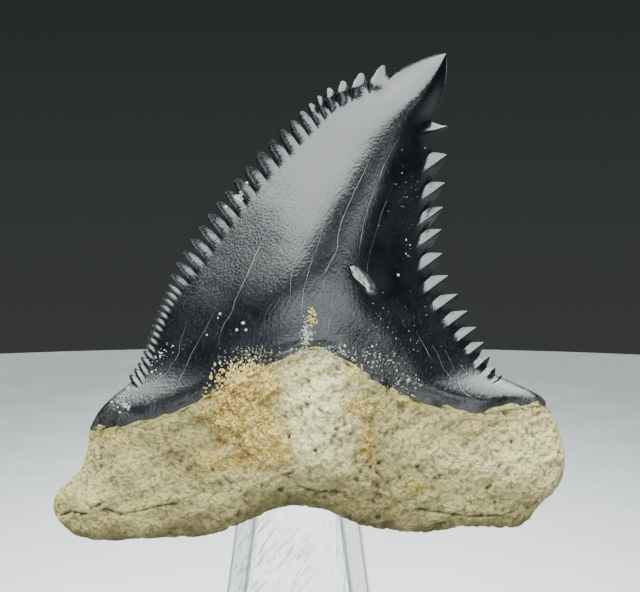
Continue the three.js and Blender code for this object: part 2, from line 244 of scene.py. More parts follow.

# Stains on the root, then patches of painted light where its bulge and right end face the light: middle,
# half sizes and strength
YELLOW_PATCHES = [
    (245, 385, 34, 20, 1.0), (237, 412, 30, 28, 1.1), (265, 445, 32, 26, 0.7), (215, 462, 28, 14, 0.5),
    (362, 407, 20, 11, 0.8), (367, 445, 12, 18, 0.6), (405, 400, 10, 6, 0.6), (480, 430, 16, 8, 0.45),
    (420, 485, 20, 9, 0.5), (110, 437, 22, 5, 0.5), (313, 352, 12, 8, 0.4),
]
PAINTED_LIGHT_PATCHES = [
    (312, 395, 38, 38, 1.0), (318, 448, 34, 24, 0.75), (545, 450, 28, 40, 0.4), (505, 455, 40, 26, 0.45),
    (430, 455, 40, 26, 0.25),
]


# Numbers and noise

def smoothstep(x, low, high):
    """Rises smoothly from 0 at low to 1 at high."""
    t = np.clip((x - low) / (high - low), 0, 1)
    return t * t * (3 - 2 * t)


def lerp(a, b, t):
    """Goes from a to b as t goes from 0 to 1."""
    return a + (b - a) * t


def softened(values, rounds):
    """Rows of numbers without their quick changes."""
    values = values.astype(float)
    for _ in range(rounds):
        values[1:-1] = (values[:-2] + 2 * values[1:-1] + values[2:]) / 4
    return values


def hash_corner(cell, seed):
    """A repeatable number from -1 to 1 for each corner of a grid of cells."""
    n = cell[..., 0] * 374761393 + cell[..., 1] * 668265263 + cell[..., 2] * 2147483647 + seed * 974634777
    n = (n ^ (n >> 13)) * 1274126177
    return ((n ^ (n >> 16)) & 0xFFFF) / 32767.5 - 1


NOISE_TURN = np.array(Euler((0.6, 0.4, 0.9)).to_matrix())


def noise(points, size, seed):
    """Smooth value noise from about -1 to 1 with features of the given size."""
    p = np.asarray(points) @ NOISE_TURN / size
    cell = np.floor(p).astype(np.int64)
    f = p - cell
    f = f * f * f * (f * (6 * f - 15) + 10)
    total = 0
    for corner in np.ndindex(2, 2, 2):
        weight = np.prod(np.where(corner, f, 1 - f), axis=-1)
        total = total + weight * hash_corner(cell + np.array(corner), seed)
    return total


def fractal(points, size, seed):
    """Noise with finer and weaker noise added to it twice."""
    return sum(noise(points, size / 2 ** k, seed + k) / 2 ** k for k in range(3)) / 1.5


# Outlines

class Curve:
    """A smooth curve through points, read by the share of its length."""

    def __init__(self, points, rounds=0):
        p = np.array(points, float)
        p = np.vstack([p[0], p, p[-1]])
        w = np.linspace(0, 1, 60, endpoint=False)[:, None]
        spans = []
        for a, b, c, d in zip(p, p[1:], p[2:], p[3:]):
            m, n = (c - a) / 2, (d - b) / 2
            spans.append((2 * (b - c) + m + n) * w ** 3 + (3 * (c - b) - 2 * m - n) * w ** 2 + m * w + b)
        self.measure(np.vstack(spans + [p[-1:]]))
        if rounds:
            self.measure(softened(self.at(np.linspace(0, 1, 400)), rounds))

    def measure(self, samples):
        """Keeps points of the curve and how far along it each one lies."""
        self.samples = samples
        steps = np.hypot(*np.diff(samples, axis=0).T)
        self.along = np.concatenate([[0], np.cumsum(steps)])
        self.length = self.along[-1]

    def at(self, share):
        """Points of the curve."""
        d = np.clip(share, 0, 1) * self.length
        return np.stack([np.interp(d, self.along, self.samples[:, k]) for k in (0, 1)], axis=-1)

    def tangent(self, share):
        """Unit directions along the curve."""
        step = self.at(np.add(share, 0.004)) - self.at(np.subtract(share, 0.004))
        return step / np.linalg.norm(step, axis=-1, keepdims=True)

    def sag(self, share):
        """How far the curve rises from the straight line between its ends."""
        u = np.asarray(share)[..., None]
        return self.at(share) - lerp(self.at(0), self.at(1), u)


base = Curve(ROOT_BASE)
root_left = Curve(ROOT_LEFT)
root_right = Curve(ROOT_RIGHT)
neck = Curve(NECK)
mesial = Curve(MESIAL_EDGE, rounds=6)
distal = Curve(DISTAL_EDGE, rounds=6)
soft_mesial = Curve(MESIAL_EDGE, rounds=300)
soft_distal = Curve(DISTAL_EDGE, rounds=300)
soft_neck = Curve(NECK, rounds=100)


# Thickness of the tooth

def pillow(u, power, sharpness):
    """1 in the middle and 0 at both edges; a low sharpness gives a blunt edge."""
    return np.maximum(0, 1 - np.abs(2 * u - 1) ** power) ** sharpness


def root_front(u, s):
    """How far the root's front stands out, with a bulge in its middle, before its rims are rounded."""
    bulge = np.exp(-(((u - 0.5) / 0.19) ** 2)) * (0.7 + 0.3 * np.sin(np.pi * s))
    return ROOT_FRONT + ROOT_BULGE * bulge


def root_section(u, s):
    """Front depth, back depth and middle of the root, from its underside (0) to the neck (1)."""
    rise = (1 - (1 - s) ** 3.5) ** (1 / 3.5)
    across = pillow(u, lerp(5, NECK_POWER, s * s), lerp(0.5, NECK_SHARPNESS, s * s))
    return root_front(u, s) * rise * across, ROOT_BACK * rise * across, ROOT_SHIFT * (1 - s) ** 1.5


def crown_section(u, t):
    """Front depth, back depth and middle of the crown, from the neck (0) to the tip (1)."""
    blade = smoothstep(t, 0, 0.45)
    power = lerp(NECK_POWER, 2, blade)
    ridge = u - RIDGE_SHIFT * t * 4 * u * (1 - u)
    dome = lerp(root_front(u, 1), CROWN_DOME, blade) * (1 - t ** 1.3) ** 0.8
    front = dome * pillow(ridge, power, lerp(NECK_SHARPNESS, 1.4, blade))
    thinning = (1 - t) ** 0.85
    back = lerp(ROOT_BACK, CROWN_BACK, blade) * thinning * pillow(u, power, lerp(NECK_SHARPNESS, 0.9, blade))
    return front, back, TIP_SHIFT * t * t


def lumps(x, z):
    """Low rounded lumps, in millimetres, at places seen from the front."""
    coarse = np.sin(1.3 * x + 0.8 * z + 0.4) * np.cos(1.1 * z - 0.5 * x)
    fine = np.sin(2.9 * x - 1.7 * z) * np.sin(2.3 * z + 1.1 * x + 1.2)
    return LUMP_HEIGHT * (coarse + 0.7 * fine)


# Places in the photograph

FOCAL = PIXELS_PER_MM * CAMERA_DISTANCE
CAMERA_AHEAD = np.array([0, math.cos(CAMERA_DOWN), -math.sin(CAMERA_DOWN)])
CAMERA_ABOVE = np.array([0, math.sin(CAMERA_DOWN), math.cos(CAMERA_DOWN)])
CAMERA_PLACE = np.array(CAMERA_TARGET) - CAMERA_AHEAD * CAMERA_DISTANCE


def photo_pixels(points):
    """Where points in the tooth's own millimetres are seen in the photograph."""
    seen = points + TOOTH_AT - CAMERA_PLACE
    ahead = seen @ CAMERA_AHEAD
    px = PHOTO_WIDTH / 2 + FOCAL * seen[..., 0] / ahead
    py = PHOTO_HEIGHT / 2 - FOCAL * (seen @ CAMERA_ABOVE) / ahead
    return px, py


def photo_ray(px, py):
    """The direction in which the photograph's camera sees a pixel."""
    ray = CAMERA_AHEAD + np.array([1, 0, 0]) * (px - PHOTO_WIDTH / 2) / FOCAL
    ray = ray + CAMERA_ABOVE * (PHOTO_HEIGHT / 2 - py) / FOCAL
    return Vector(ray).normalized()


def surface_under(tree, px, py):
    """The point and outward normal, in metres, that the photograph shows at a pixel."""
    point, normal, _, _ = tree.ray_cast(Vector(CAMERA_PLACE * MM), photo_ray(px, py))
    return point, normal


def surface_points(tree, pixels):
    """All the points, and all their normals, that the photograph shows at pixels on the tooth."""
    hits = [surface_under(tree, *pixel) for pixel in pixels]
    return np.array([[hit[k] for hit in hits if hit[k] is not None] for k in (0, 1)])


def patch(px, py, x, y, half_width, half_height, strength):
    """A soft oval patch of the photograph."""
    away = ((px - x) / half_width) ** 2 + ((py - y) / half_height) ** 2
    return strength * np.exp(-away)


def line_distance(px, py, line):
    """How many pixels away a line through pixels of the photograph passes."""
    nearest = []
    for (x, y), (x_next, y_next) in zip(line, line[1:]):
        run, rise = x_next - x, y_next - y
        along = np.clip(((px - x) * run + (py - y) * rise) / (run ** 2 + rise ** 2), 0, 1)
        nearest.append(np.hypot(px - x - along * run, py - y - along * rise))
    return np.min(nearest, axis=0)


# Meshes

def to_frame(points):
    """From the tooth's own millimetres to the frame's metres."""
    return (np.asarray(points) + TOOTH_AT) * MM


def around(front, back):
    """Two grids that meet at both sides, joined into rows that run right round."""
    return np.concatenate([front, back[:, -2:0:-1]], axis=1)


def ring_faces(index):
    """Faces between the rows of a grid of vertices whose rows run right round."""
    following = np.roll(index, -1, axis=1)
    quads = np.stack([index[:-1], following[:-1], following[1:], index[1:]], axis=-1)
    return quads.reshape(-1, 4).tolist()


def closed_sheet(front, back, open_rows):
    """Vertices and faces of a closed skin from two grids that meet at both sides.

    The open rows, 0 or -1, are the ends where the grids don't meet, so faces are put across them.
    """
    ring = around(front, back)
    index = np.arange(ring[..., 0].size).reshape(ring.shape[:2])
    faces = ring_faces(index)
    for row in open_rows:
        faces += end_cap(index[row], front.shape[1], flip=row == 0)
    return ring.reshape(-1, 3), faces


def end_cap(ring, columns, flip):
    """Faces that close one end ring of a skin, from its front half across to its back half."""
    count = len(ring)
    faces = []
    for i in range(columns - 1):
        quad = [ring[i], ring[i + 1], ring[(count - i - 1) % count], ring[(count - i) % count]]
        corners = list(dict.fromkeys(quad))
        if len(corners) > 2:
            faces.append(corners[::-1] if flip else corners)
    return faces


def put_in_scene(name, data):
    """A new object of the scene, from its mesh, camera or light."""
    thing = bpy.data.objects.new(name, data)
    bpy.context.collection.objects.link(thing)
    return thing


def finished_mesh(name, vertices, faces, material, attributes=None):
    """A piece of one material, from vertices in metres, with a number at each vertex for each attribute."""
    mesh = bpy.data.meshes.new(name)
    mesh.from_pydata(np.asarray(vertices).tolist(), [], faces)
    for key, values in (attributes or {}).items():
        layer = mesh.attributes.new(key, "FLOAT", "POINT")
        layer.data.foreach_set("value", np.asarray(values, np.float32).ravel())
    mesh.materials.append(material)
    mesh.update()
    return put_in_scene(name, mesh)


def merge_and_clean(piece):
    """Merges points that are the same, drops faces without a size and turns the rest outwards."""
    bm = bmesh.new()
    bm.from_mesh(piece.data)
    bmesh.ops.remove_doubles(bm, verts=bm.verts, dist=SAME_POINT)
    bmesh.ops.dissolve_degenerate(bm, edges=bm.edges, dist=SAME_POINT)
    bmesh.ops.recalc_face_normals(bm, faces=bm.faces)
    bm.to_mesh(piece.data)
    bm.free()


def smooth_skin(name, grids, open_rows, material, attributes):
    """A smooth piece of the tooth, from front and back grids in its own millimetres."""
    vertices, faces = closed_sheet(*grids, open_rows)
    piece = finished_mesh(name, to_frame(vertices), faces, material, attributes)
    piece.data.shade_smooth()
    piece.data.set_sharp_from_angle(angle=SHARP_ANGLE)
    merge_and_clean(piece)
    return piece


def front_and_back(plane, front, back, mid):
    """Front and back grids over places seen from the front, at depths from a middle."""
    x, z = plane[..., 0], plane[..., 1]
    return np.stack([x, mid - front, z], axis=-1), np.stack([x, mid + back, z], axis=-1)


def tucked_grids(plane, front, back, mid, depth):
    """Front and back grids of a strip that lies a little under the surface."""
    front = np.maximum(front - depth, 0.02 * np.minimum(front, 1))
    back = np.maximum(back - depth, 0.02 * np.minimum(back, 1))
    return front_and_back(plane, front, back, mid)


def narrowed(u):
    """Places across the tooth, drawn a little towards its middle."""
    return 0.5 + (u - 0.5) * TUCK_INSET


# The crown

def edge_rows(curve, start, widths, places, foot_rows):
    """Rows up one cutting edge, from its foot to its tip.

    Returns each row's share of the edge, its cusplet's number counted from the tip (-1 on bare edge)
    and its place in that cusplet, from 0 at the upper notch to 1 at the lower one.
    """
    foot = 1 - (start + sum(widths)) / curve.length
    inside = 1 - places
    stretches = [(np.linspace(0, foot, foot_rows, endpoint=False), -1, 0)]
    for k in reversed(range(len(widths))):
        top = start + sum(widths[:k])
        stretches.append((1 - (top + inside * widths[k]) / curve.length, k, inside))
    stretches.append((np.linspace(1 - start / curve.length, 1, TIP_ROWS), -1, 0))
    return [np.concatenate(values) for values in zip(*(np.broadcast_arrays(*s) for s in stretches))]


def flank_shares(place, point):
    """How far from the upper notch to a cusplet's point, and from there to the lower notch, a place is."""
    return np.clip(place / point, 0, 1), np.clip((place - point) / (1 - point), 0, 1)


def finger_profile(number, place):
    """Length and ridge height of the mesial cusplets: rounded fingers, the first ones hooked to the tip."""
    i = np.maximum(number, 0)
    bead = smoothstep(i, 18, 23)
    later = smoothstep(i, 1, 7)
    length = (0.5 + 0.55 * np.exp(-i / 1.3) + 0.3 * smoothstep(i, 4, 9)) * lerp(1, 0.5, bead)
    point = 0.42 - 0.2 * np.exp(-0.9 * i)
    above, below = flank_shares(place, point)
    rising = 1 - (1 - above) ** 2.2
    falling = (1 - below ** lerp(1.4, 2, later)) ** lerp(1, 0.8, later)
    shape = np.where(place < point, rising, falling)
    ridge = np.sin(np.pi * np.clip(place, 0, 1) ** 1.4) ** lerp(0.45, 1, later)
    height = lerp(0.55, 0.22, later) * lerp(1, 0.55, bead)
    on = number >= 0
    return on * length * shape, on * height * ridge


def saw_profile(number, place):
    """Length and ridge height of the distal cusplets: saw teeth with a ridge down from the point."""
    i = np.maximum(number, 0)
    down = i / (len(DISTAL_WIDTHS) - 1)
    length = lerp(1.3, 0.3, down ** 2.6)
    point = np.where(i == 0, 0.28, 0.42)
    above, below = flank_shares(place, point)
    shape = np.where(place < point, above ** 0.85, 1 - below ** 1.3)
    ridge = np.where(place < point, above, 1 - below)
    on = number >= 0
    return on * length * shape, on * lerp(0.6, 0.36, down) * ridge


def ridge_height(ridge, length, reach, q, blunt):
    """A cusplet's ridge, from its end inwards to where it fades; under 1, blunt rounds the end."""
    distance = (length + reach)[:, None] * q
    inward = (distance - length[:, None]) / reach[:, None]
    rising = np.minimum(1, distance / np.maximum(length, CUSPLET_ROUND)[:, None]) ** blunt
    return ridge[:, None] * rising * (1 - smoothstep(inward, 0, 1))


def neck_rise(u, t, foot):
    """How much a row across the crown still has of the neck's curve."""
    return foot.sag(u) * ((1 - np.clip(t, 0, 1)) ** NECK_FADE)[..., None]


def crown_plane(u, t, left=mesial, right=distal, foot=neck):
    """Places seen from the front, across the crown and from the neck (0) to the tip (1)."""
    return lerp(left.at(t), right.at(t), u[..., None]) + neck_rise(u, t, foot)


def locate_on_crown(plane, u, t):
    """Where points of the plane lie across and up a crown without small waves, by Newton's method."""
    soft = (soft_mesial, soft_distal, soft_neck)
    step = 1e-3
    for _ in range(8):
        here = crown_plane(u, t, *soft)
        du = (crown_plane(u + step, t, *soft) - here) / step
        dt = (crown_plane(u, t + step, *soft) - here) / step
        miss = plane - here
        cross = du[..., 0] * dt[..., 1] - du[..., 1] * dt[..., 0]
        cross = np.where(np.abs(cross) < 1, np.where(cross < 0, -1, 1), cross)
        change_u = (miss[..., 0] * dt[..., 1] - miss[..., 1] * dt[..., 0]) / cross
        change_t = (du[..., 0] * miss[..., 1] - du[..., 1] * miss[..., 0]) / cross
        u = np.clip(u + np.clip(change_u, -0.1, 0.1), -0.2, 1.2)
        t = np.clip(t + np.clip(change_t, -0.1, 0.1), 0, 1)
    return u, t


def edge_band(edge, leaning, length, outwards, pointing, reach, q):
    """The strip along one cutting edge: its points from the cusplets' ends inwards."""
    leaning = softened(leaning, SOFT_START)[:, None]
    axis = lerp(outwards, pointing, leaning)
    axis = softened(axis / np.linalg.norm(axis, axis=1, keepdims=True), SOFT_AXIS)
    distance = length[:, None] * (1 - q) - reach[:, None] * q
    return edge[:, None] + axis[:, None] * distance[..., None]


def crown_grid():
    """The crown's plane grid, its ridges' heights, and where each vertex lies across and up, by a guess."""
    t_left, finger, finger_place = edge_rows(mesial, MESIAL_START, MESIAL_WIDTHS, FINGER_PLACES, FOOT_ROWS)
    foot_rows = len(t_left) - len(SAW_PLACES) * len(DISTAL_WIDTHS) - TIP_ROWS
    t_right, saw, saw_place = edge_rows(distal, DISTAL_START, DISTAL_WIDTHS, SAW_PLACES, foot_rows)
    length_left, ridge_left = finger_profile(finger, finger_place)
    length_right, ridge_right = saw_profile(saw, saw_place)

    edge_left, edge_right = mesial.at(t_left), distal.at(t_right)
    across = edge_right - edge_left
    width = np.linalg.norm(across, axis=1)
    inwards = across / np.maximum(width, 1e-6)[:, None]
    inwards[width < 1e-3] = inwards[width >= 1e-3][-1]
    q_left, q_right = np.linspace(0, 1, MESIAL_COLUMNS + 1), np.linspace(1, 0, DISTAL_COLUMNS + 1)

    # The bands are narrower towards the foot and where the crown itself is narrow
    reach_left = np.minimum(MESIAL_BAND * lerp(0.55, 1, smoothstep(t_left, 0.28, 0.42)), 0.2 * width)
    reach_right = np.minimum(DISTAL_BAND * lerp(0.4, 1, smoothstep(t_right, 0.08, 0.45)), 0.25 * width)
    tangent = soft_mesial.tangent(t_left)
    fingers = np.stack([-tangent[:, 1], tangent[:, 0]], axis=1) + FINGER_LEAN * tangent
    saws = np.array([math.cos(SAW_RISE), math.sin(SAW_RISE)])
    leaning = t_left > MESIAL_FOOT
    band_left = edge_band(edge_left, leaning, length_left, -inwards, fingers, reach_left, q_left)
    band_right = edge_band(edge_right, saw >= 0, length_right, inwards, saws, reach_right, q_right)

    middle = np.linspace(0, 1, MIDDLE_COLUMNS + 1)[1:-1]
    t = lerp(t_left[:, None], t_right[:, None], middle)
    u_start = reach_left / np.maximum(width, 1e-6)
    u_end = 1 - reach_right / np.maximum(width, 1e-6)
    u = lerp(u_start[:, None], u_end[:, None], middle)
    inner = lerp(band_left[:, -1:], band_right[:, :1], middle[None, :, None]) + neck_rise(u, t, neck)
    plane = np.concatenate([band_left, inner, band_right], axis=1)
    rib = np.concatenate([
        ridge_height(ridge_left, length_left, np.maximum(reach_left, 1e-6), q_left, FINGER_BLUNT),
        np.zeros_like(t),
        ridge_height(ridge_right, length_right, np.maximum(reach_right, 1e-6), q_right, SAW_BLUNT),
    ], axis=1)
    guess_u = np.concatenate([u[:, :1] * q_left, u, 1 - (1 - u[:, -1:]) * q_right], axis=1)
    guess_t = np.concatenate([t_left[:, None] + 0 * q_left, t, t_right[:, None] + 0 * q_right], axis=1)
    return plane, rib * smoothstep(width, 0.5, 4)[:, None], guess_u, guess_t


def make_crown(material):
    """The enamel crown with its cusplets, lumps and chip."""
    plane, rib, guess_u, guess_t = crown_grid()
    u, t = locate_on_crown(plane, guess_u, guess_t)
    front, back, mid = crown_section(u, t)
    x, z = plane[..., 0], plane[..., 1]
    lumpy = np.minimum(1, front) * (1 - smoothstep(t, 0, 0.05))
    points = np.stack([x, mid, z], axis=-1)
    wave = 0.03 * fractal(points, 3.0, 11) * smoothstep(front, 0.3, 1.2)
    at_foot = 1 - smoothstep(guess_t, 0, 0.05)
    wobble = 0.06 * fractal(points, 0.8, 12) * at_foot
    enamel = (0.04 - 0.09 * at_foot + wobble) * smoothstep(front, 0.3, 1.0)
    front = front + rib + lumpy * lumps(x, z) + wave + enamel - chip_depth(x, z)
    back = back + 0.7 * rib + 0.5 * lumpy * lumps(-x, z) + enamel

    # The foot goes on below the neck, sunk into the root
    foot_u, foot_s = np.meshgrid(narrowed(u[0]), np.linspace(1 - CROWN_TUCK, 1, TUCK_ROWS, endpoint=False))
    foot = tucked_grids(root_plane(foot_u, foot_s), *root_section(foot_u, foot_s), 0.5)
    grids = [np.concatenate(rows) for rows in zip(foot, front_and_back(plane, front, back, mid))]
    up = np.concatenate([0 * foot_u, guess_t])
    return smooth_skin("tooth_crown", grids, (0,), material, {"up": around(up, up)})


def chip_depth(x, z):
    """How deep the chip's hollow is, in millimetres, at places seen from the front."""
    dx, dz = x - CHIP_AT[0], z - CHIP_AT[1]
    a = (dx * math.cos(CHIP_LEAN) + dz * math.sin(CHIP_LEAN)) / CHIP_HALF[0]
    b = (-dx * math.sin(CHIP_LEAN) + dz * math.cos(CHIP_LEAN)) / CHIP_HALF[1]
    hollow = np.sqrt(np.maximum(0, 1 - a ** 2 - b ** 2))
    return CHIP_DEPTH * hollow * smoothstep(a - 0.6 * b, -1.2, 0.8)


def make_chip_scar(tree, material):
    """A thin striated plate that lines the chip's hollow."""
    across, along = np.meshgrid(np.linspace(0, 1, SCAR_COLUMNS), np.linspace(0, 1, SCAR_ROWS))
    pixels = lerp(Curve(SCAR_LEFT).at(along), Curve(SCAR_RIGHT).at(along), across[..., None])
    pixels = pixels + 0.5 * noise(np.dstack([pixels, 0 * along]), 3, 71)[..., None]
    points, normals = surface_points(tree, pixels.reshape(-1, 2)).reshape(2, SCAR_ROWS, SCAR_COLUMNS, 3)
    grooves = np.dstack([8 * across, 2.5 * along, 0 * along])
    raised = SCAR_RAISED + SCAR_GROOVE * noise(grooves, 1, 72)
    top = points + normals * raised[..., None] * MM
    vertices, faces = closed_sheet(top, points - normals * SCAR_SUNK * MM, (0, -1))
    scar = finished_mesh("chip_scar", vertices, faces, material)
    merge_and_clean(scar)
    return scar


# The root

def root_plane(u, s):
    """Places seen from the front, across the root and from its underside (0) to the neck (1)."""
    plane = lerp(root_left.at(s), root_right.at(s), u[..., None])
    return plane + base.sag(u) * (1 - s)[..., None] + neck.sag(u) * s[..., None]


def grid_normals(grid, sign):
    """Unit normals of a grid, which a sign of -1 turns over."""
    normal = np.cross(np.gradient(grid, axis=1), np.gradient(grid, axis=0))
    return sign * normal / np.maximum(np.linalg.norm(normal, axis=-1, keepdims=True), 1e-9)


def on_front(points):
    """1 on the tooth's front, fading to 0 towards its back."""
    return smoothstep(-points[..., 1], -1.5, 0.5)


def root_relief(points):
    """Height of the root's worm-like bumps, lumps, crevices, pits and crust, in millimetres."""
    bend = np.stack([noise(points, 1.1, 40 + k) for k in range(3)], axis=-1)
    worms = 1 - 2 * np.abs(noise(points + 0.35 * bend, 0.55, 21))
    grains = noise(points, 0.3, 22)
    patches = fractal(points, 2.2, 23)
    crevices = 1 - smoothstep(np.abs(noise(points + 0.5 * bend, 2.4, 24)), 0, 0.07)
    pits = smoothstep(noise(points, 0.6, 25), 0.66, 0.85)
    coarse = lerp(0.55, 1, smoothstep(points[..., 0], -10, -2))
    px, py = photo_pixels(points)
    groove = np.max([np.exp(-(line_distance(px, py, line) / 1.3) ** 2) for line in ROOT_CRACKS], axis=0)
    hole = np.max([patch(px, py, *pit, 1) for pit in ROOT_PITS], axis=0)
    crust = 0.2 * crust_share(points) * (0.6 + noise(points + 0.3 * bend, 0.5, 26))
    fine = 0.09 * worms + 0.07 * grains - 0.07 * crevices - 0.1 * pits
    seen = on_front(points) * (0.16 * groove + 0.25 * hole)
    return coarse * fine + 0.08 * patches + crust - 0.06 - seen


def crust_share(points):
    """How much crust covers the root's front at each point."""
    px, py = photo_pixels(points)
    cover = sum(patch(px, py, *spot) for spot in YELLOW_PATCHES)
    return smoothstep(cover, 0.25, 0.8) * on_front(points)


def root_stains_and_painted_light(points):
    """How yellow the root is stained, and how much painted light pales it, at each point, from where the
    photograph shows it.
    """
    px, py = photo_pixels(points)
    ragged = 1 + 0.5 * fractal(points, 1.2, 31)
    yellow = sum(patch(px, py, *spot) for spot in YELLOW_PATCHES) * ragged
    # Painted light: paler where the bulge and the right end face the light
    pale = sum(patch(px, py, *spot) for spot in PAINTED_LIGHT_PATCHES)
    front = on_front(points)
    return {"yellow": yellow * front, "pale": pale * front}


def make_root(material):
    """The bony root with its relief and crust."""
    even = np.linspace(0, 1, ROOT_COLUMNS + 1)
    across = lerp(even, (1 - np.cos(np.pi * even)) / 2, 0.35)
    u, s = np.meshgrid(across, np.linspace(0, 1, ROOT_ROWS + 1) ** 1.25)
    plane = root_plane(u, s)
    x, z = plane[..., 0], plane[..., 1]
    front, back, mid = root_section(u, s)
    inside = np.minimum(1, front)
    front = front + inside * lumps(x, z)
    back = back + inside * 0.5 * lumps(-x, z)
    grids, reliefs = [], []
    for grid, sign in zip(front_and_back(plane, front, back, mid), (1, -1)):
        relief = root_relief(grid)
        reliefs.append(relief)
        grids.append(grid + grid_normals(grid, sign) * (relief * smoothstep(inside, 0, 0.6))[..., None])
    seam = (u == 0) | (u == 1) | (s == 0)
    grids[1][seam] = grids[0][seam]

    # The top goes on above the neck, sunk into the crown
    top_u, top_t = np.meshgrid(narrowed(across), np.linspace(0.004, ROOT_TUCK, TUCK_ROWS))
    depth = 0.03 + 0.3 * smoothstep(top_t, 0.004, 0.02)
    top = tucked_grids(crown_plane(top_u, top_t), *crown_section(top_u, top_t), depth)
    grids = [np.concatenate(rows) for rows in zip(grids, top)]
    reliefs = [np.concatenate([values, root_relief(above)]) for values, above in zip(reliefs, top)]
    # How near the underside each point is, for the painted shade there
    low = np.concatenate([1 - smoothstep(s, 0.01, 0.2), 0 * top_u])
    attributes = {"relief": around(*reliefs), "low": around(low, low), **root_stains_and_painted_light(around(*grids))}
    return smooth_skin("tooth_root", grids, (-1,), material, attributes)


# Cracks, grains and crust

def tooth_surface(pieces):
    """One search tree of the pieces' faces."""
    vertices, polygons = [], []
    for piece in pieces:
        start = len(vertices)
        vertices += [v.co.copy() for v in piece.data.vertices]
        polygons += [[start + i for i in face.vertices] for face in piece.data.polygons]
    return BVHTree.FromPolygons(vertices, polygons)


def crack_path(number, pixels):
    """Pixels along a crack, which wanders a little from its line."""
    line = Curve(pixels)
    share = np.linspace(0, 1, max(3, int(line.length / CRACK_STEP)) + 1)
    wander = np.stack([share * line.length, 0 * share, 0 * share + 10 * number], axis=1)
    tangent = line.tangent(share)
    side = np.stack([-tangent[:, 1], tangent[:, 0]], axis=1)
    return line.at(share) + side * (0.5 * noise(wander, 9, 51) + 0.3 * noise(wander, 3, 52))[:, None]


def make_crack_fillings(tree, material):
    """Thin raised fillings along the enamel's cracks."""
    section = np.array([(-1, -0.4), (-0.45, 0.22), (0.45, 0.22), (1, -0.4), (0, -1.4)])
    vertices, faces = [], []
    for number, (half_width, pixels) in enumerate(CRACKS):
        points, normals = surface_points(tree, crack_path(number, pixels))
        across = np.cross(np.gradient(points, axis=0), normals)
        across /= np.linalg.norm(across, axis=1, keepdims=True)
        share = np.linspace(0, 1, len(points))
        swell = np.sqrt(np.sin(np.pi * np.clip(share, 0.02, 0.98)))
        patchy = 1 + 0.45 * noise(points / MM, 0.5, 53)
        half = CRACK_SHARE * half_width * MM * np.maximum(0.2, swell * patchy)
        rings = (
            points[:, None]
            + across[:, None] * (section[None, :, :1] * half[:, None, None])
            + normals[:, None] * (section[None, :, 1:] * half[:, None, None])
        )
        index = len(vertices) + np.arange(len(points) * len(section)).reshape(-1, len(section))
        vertices += rings.reshape(-1, 3).tolist()
        faces += ring_faces(index) + [index[0, ::-1].tolist(), index[-1].tolist()]
    return finished_mesh("crack_fillings", vertices, faces, material)


def icosahedron():
    """Vertices and faces of an icosahedron."""
    ball = bmesh.new()
    bmesh.ops.create_icosphere(ball, subdivisions=1, radius=1)
    vertices = np.array([v.co for v in ball.verts])
    faces = np.array([[v.index for v in face.verts] for face in ball.faces])
    ball.free()
    return vertices, faces


def make_grains(name, grains, material, rng):
    """One mesh of many uneven grains, each given as its place, normal, radius in metres and tint."""
    template, corners = icosahedron()
    vertices, faces, tints = [], [], []
    for number, (point, normal, radius, tint) in enumerate(grains):
        turn = Quaternion(rng.normal(size=4)).normalized().to_matrix()
        shape = template @ np.array(turn).T
        rough = 1 + 0.3 * noise(shape + 7.3 * number, 1.1, 61) + 0.12 * rng.uniform(-1, 1, len(shape))
        stretch = rng.uniform(0.75, 1.3, 3)
        shape = shape * rough[:, None] * stretch * radius
        height = shape @ np.array(normal)
        shape = shape - np.array(normal) * (height * 0.3)[:, None]
        vertices.append(np.array(point) + shape)
        faces.append(corners + number * len(template))
        tints.append(np.full(len(template), tint))
    faces = np.concatenate(faces).tolist()
    return finished_mesh(name, np.concatenate(vertices), faces, material, {"tint": np.concatenate(tints)})


def grains_in_patches(tree, patches, rng):
    """Grains at seeded places in oval patches of the photograph."""
    grains = []
    for x, y, half_width, half_height, count, radii, tints in patches:
        for _ in range(count):
            px, py = rng.normal((x, y), (half_width / PATCH_SPREAD, half_height / PATCH_SPREAD))
            point, normal = surface_under(tree, px, py)
            if point is None:
                continue
            radius = rng.uniform(*radii) * rng.uniform(0.6, 1) * MM
            grains.append((point - normal * radius * 0.25, normal, radius, rng.uniform(*tints)))
    return grains


def grains_at_spots(tree, spots, rng):
    """Single grains at named pixels, each with its radius in millimetres."""
    grains = []
    for px, py, radius in spots:
        point, normal = surface_under(tree, px, py)
        grains.append((point, normal, SPECK_SHARE * radius * MM, rng.uniform(0.8, 1)))
    return grains


# Materials

def new_material(name):
    """A recipe for a new material."""
    material = bpy.data.materials.new(name)
    material.use_nodes = True
    return Recipe(material)


